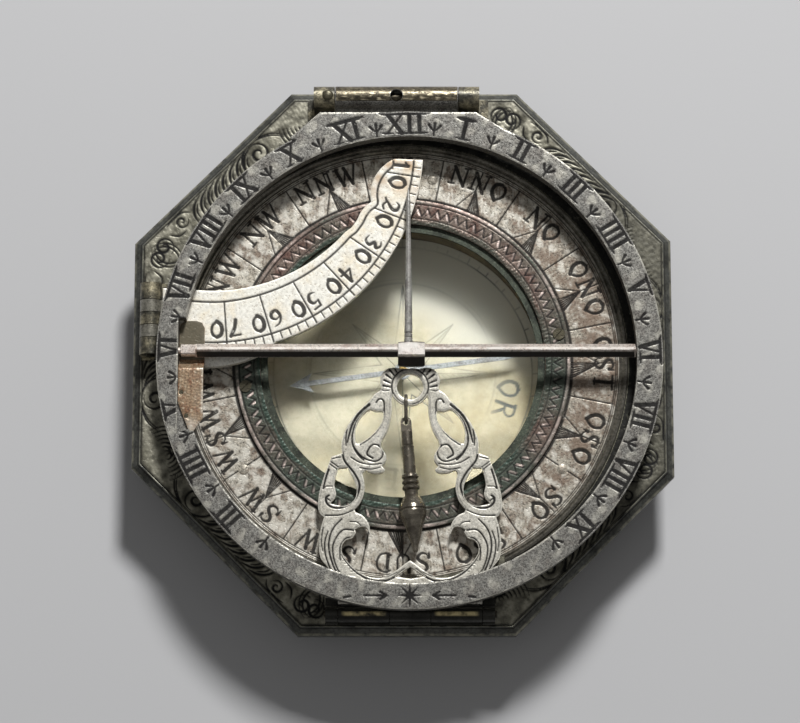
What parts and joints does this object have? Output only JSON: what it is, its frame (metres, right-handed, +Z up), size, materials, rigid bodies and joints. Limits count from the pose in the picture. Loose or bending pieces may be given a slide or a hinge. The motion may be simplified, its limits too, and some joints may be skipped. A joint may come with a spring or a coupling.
{
  "type": "universal compass sundial",
  "caption": "Folding pocket sundial: eight-sided plate with a round compass box, hinged hour ring with turning gnomon, hinged latitude arc, and a pierced bracket with a plumb bob.",
  "frame": {"origin": "middle of the flat rest face under the compass box, on the compass axis", "axes": "+X east, +Y north towards the hour ring's hinge, +Z up out of the plate's engraved face; stored folded flat as pictured"},
  "size_m": [0.06, 0.0614, 0.0134],
  "materials": {
    "plate": "engraved, worn gilding over dark brass",
    "rim": "dark patina with bright worn edges",
    "box": "plain turned brass",
    "screw": "dull brass, slotted",
    "cover": "plain turned brass, rubbed",
    "card": "engraved cream card",
    "steel": "dull blued steel",
    "cap": "polished",
    "glass": "clear flat glass",
    "seat_ring": "green corroded",
    "bezel": "coppery with green corrosion, zigzag engraving",
    "direction_ring": "silvered, engraved, stained brown",
    "rivet": "dull",
    "moulding": "satin, turned",
    "hinge": "dark patina",
    "pin": "dull",
    "hour_ring": "silvered, engraved, finely pitted",
    "bar": "satin, silvered",
    "stylus": "dull",
    "spring": "copper brown, speckled",
    "arc": "silvered, engraved",
    "knuckles": "dark patina with worn tops",
    "bracket": "silvered, pierced and engraved",
    "link": "dark wire",
    "bob": "dark turned brass"
  },
  "bodies": {
    "base": {"base_plate": "plate", "rim_moulding": "rim", "compass_box": "box", "box_screws": "screw", "bottom_cover": "cover", "cover_screws": "screw", "compass_card": "card", "needle_pivot": "steel", "compass_glass": "glass", "glass_seat_ring": "seat_ring", "zigzag_bezel": "bezel", "bezel_screws": "screw", "direction_ring": "direction_ring", "direction_ring_rivets": "rivet", "circle_moulding": "moulding", "ring_hinge_block": "hinge", "ring_hinge_pin": "pin", "ring_hinge_rivet": "rivet", "arc_hinge_block": "hinge", "arc_hinge_pin": "pin", "bracket_hinge_block": "hinge", "bracket_hinge_pin": "pin"},
    "needle": {"compass_needle": "steel", "needle_cap": "cap"},
    "ring": {"hour_ring": "hour_ring", "detent_spring": "spring", "spring_rivets": "rivet"},
    "gnomon": {"gnomon_bar": "bar", "gnomon_stylus": "stylus"},
    "arc": {"latitude_arc": "arc", "arc_knuckles": "knuckles"},
    "bracket": {"plummet_bracket": "bracket", "bracket_knuckles": "knuckles"},
    "link": {"plumb_link": "link"},
    "bob": {"plumb_bob": "bob"}
  },
  "joints": [
    {"name": "ring_tilt", "type": "hinge", "parent": "base", "child": "ring", "pos_m": [-0.0007, 0.0296, 0.0119], "axis": [-1, 0, 0], "range_deg": [0, 110]},
    {"name": "gnomon_turn", "type": "hinge", "parent": "ring", "child": "gnomon", "pos_m": [0.00075, 0.0008, 0.012], "axis": [1, 0, 0], "range_deg": [0, 90]},
    {"name": "arc_lift", "type": "hinge", "parent": "base", "child": "arc", "pos_m": [-0.0279, 0.00465, 0.0103], "axis": [0, -1, 0], "range_deg": [0, 90]},
    {"name": "bracket_lift", "type": "hinge", "parent": "base", "child": "bracket", "pos_m": [0.0008, -0.028, 0.01], "axis": [1, 0, 0], "range_deg": [0, 90]},
    {"name": "link_swing", "type": "hinge", "parent": "bracket", "child": "link", "pos_m": [0.00035, -0.0047, 0.01], "axis": [-1, 0, 0], "range_deg": [0, 90]},
    {"name": "bob_sway", "type": "hinge", "parent": "link", "child": "bob", "pos_m": [0.00035, -0.0069, 0.01], "axis": [0, 0, 1], "range_deg": [-14.2, 5.8]},
    {"name": "needle_turn", "type": "hinge", "parent": "base", "child": "needle", "pos_m": [0, 0, 0.004], "axis": [0, 0, 1], "continuous": true}
  ],
  "couplings": [
    {"joint": "gnomon_turn", "follows": "ring_tilt", "ratio": 0.81818},
    {"joint": "arc_lift", "follows": "ring_tilt", "ratio": 0.81818},
    {"joint": "bracket_lift", "follows": "ring_tilt", "ratio": 0.81818}
  ]
}
